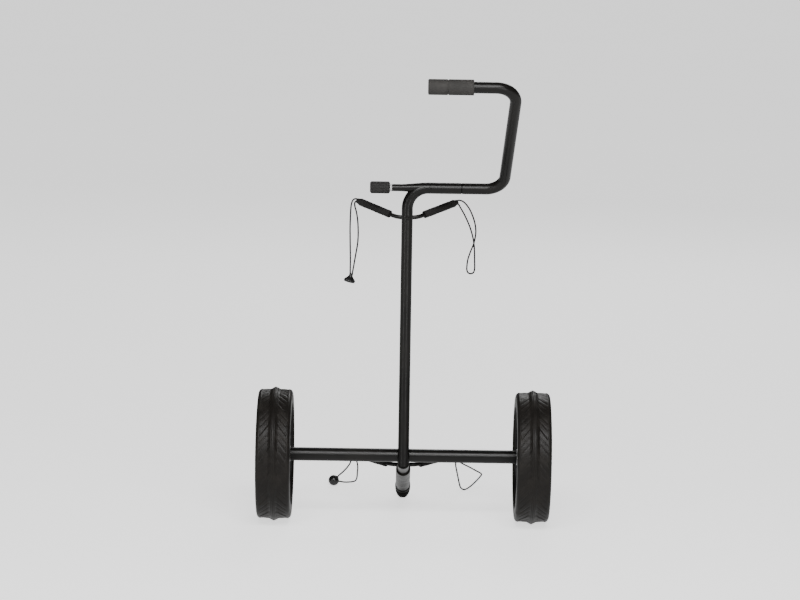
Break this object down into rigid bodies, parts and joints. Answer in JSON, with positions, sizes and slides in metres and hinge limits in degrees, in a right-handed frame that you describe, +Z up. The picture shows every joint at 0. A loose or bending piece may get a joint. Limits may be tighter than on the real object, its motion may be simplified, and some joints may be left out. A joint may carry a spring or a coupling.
{
  "type": "pull cart",
  "caption": "Two-wheeled tubular bag cart with a tilting C-shaped handle, clamp knob, two padded cradles with elastic cords, chevron-tread tyres and a single sloping rear foot.",
  "frame": {"origin": "on the ground, under the centre of the cart's outer box", "axes": "+X to the right for someone holding the handle, +Y forward from them to the bag side and the foot, +Z up"},
  "size_m": [0.652, 0.5861, 1.0072],
  "materials": {
    "black_tube": "satin",
    "collar": "matte",
    "foam": "matte",
    "grip_rubber": "matte",
    "rubber": "matte",
    "cord": "matte",
    "cord_plastic": "gloss",
    "dark_plastic": "matte",
    "tyre": "matte",
    "wheel_plastic": "satin",
    "aluminium": "satin",
    "steel": "satin"
  },
  "bodies": {
    "frame": {"main_tube": "black_tube", "knob_tube": "black_tube", "axle_tube": "black_tube", "foot_tube": "black_tube", "foot_cap": "rubber", "upper_rod": "black_tube", "lower_rod": "black_tube", "upper_left_sleeve": "foam", "upper_right_sleeve": "foam", "lower_left_sleeve": "foam", "lower_right_sleeve": "foam", "upper_left_plug": "dark_plastic", "upper_right_plug": "dark_plastic", "lower_left_plug": "dark_plastic", "lower_right_plug": "dark_plastic", "cradle_screw": "steel", "cradle_nut": "steel", "knob_washer": "aluminium", "seam_ring": "dark_plastic", "foot_collar": "collar", "axle_plugs": "aluminium", "left_axle_pin": "steel", "right_axle_pin": "steel", "hub_flanges": "aluminium", "detent_balls": "steel", "left_release_spring": "steel", "right_release_spring": "steel", "upper_left_cord_outer": "cord", "upper_left_cord_inner": "cord", "upper_right_cord": "cord", "lower_left_cord_outer": "cord", "lower_left_cord_inner": "cord", "lower_right_cord": "cord", "cord_hook": "cord_plastic", "cord_ball": "cord_plastic"},
    "handle": {"handle_tube": "black_tube", "handle_spigot": "aluminium", "grip": "grip_rubber", "grip_plug": "dark_plastic"},
    "knob": {"clamp_knob": "dark_plastic", "tie_rod": "steel"},
    "wheel_left": {"left_tyre": "tyre", "left_rim": "wheel_plastic", "left_bearings": "steel", "left_hub_cap": "wheel_plastic"},
    "wheel_right": {"right_tyre": "tyre", "right_rim": "wheel_plastic", "right_bearings": "steel", "right_hub_cap": "wheel_plastic"},
    "release_left": {"left_release_pin": "steel"},
    "release_right": {"right_release_pin": "steel"}
  },
  "joints": [
    {"name": "handle_tilt", "type": "hinge", "parent": "frame", "child": "handle", "pos_m": [0.12, -0.01576, 0.752], "axis": [1, 0, 0], "range_deg": [-60, 135]},
    {"name": "knob_turn", "type": "hinge", "parent": "frame", "child": "knob", "pos_m": [-0.06, -0.01576, 0.752], "axis": [1, 0, 0], "range_deg": [0, 360]},
    {"name": "wheel_left_spin", "type": "hinge", "parent": "frame", "child": "wheel_left", "pos_m": [-0.288, -0.02931, 0.15], "axis": [1, 0, 0], "continuous": true},
    {"name": "wheel_right_spin", "type": "hinge", "parent": "frame", "child": "wheel_right", "pos_m": [0.288, -0.02931, 0.15], "axis": [1, 0, 0], "continuous": true},
    {"name": "release_left_push", "type": "slide", "parent": "frame", "child": "release_left", "axis": [1, 0, 0], "range_m": [0, 0.003], "stiffness_N_per_m": 800, "springref_m": -0.002, "deforming": ["left_release_spring"]},
    {"name": "release_right_push", "type": "slide", "parent": "frame", "child": "release_right", "axis": [-1, 0, 0], "range_m": [0, 0.003], "stiffness_N_per_m": 800, "springref_m": -0.002, "deforming": ["right_release_spring"]}
  ]
}
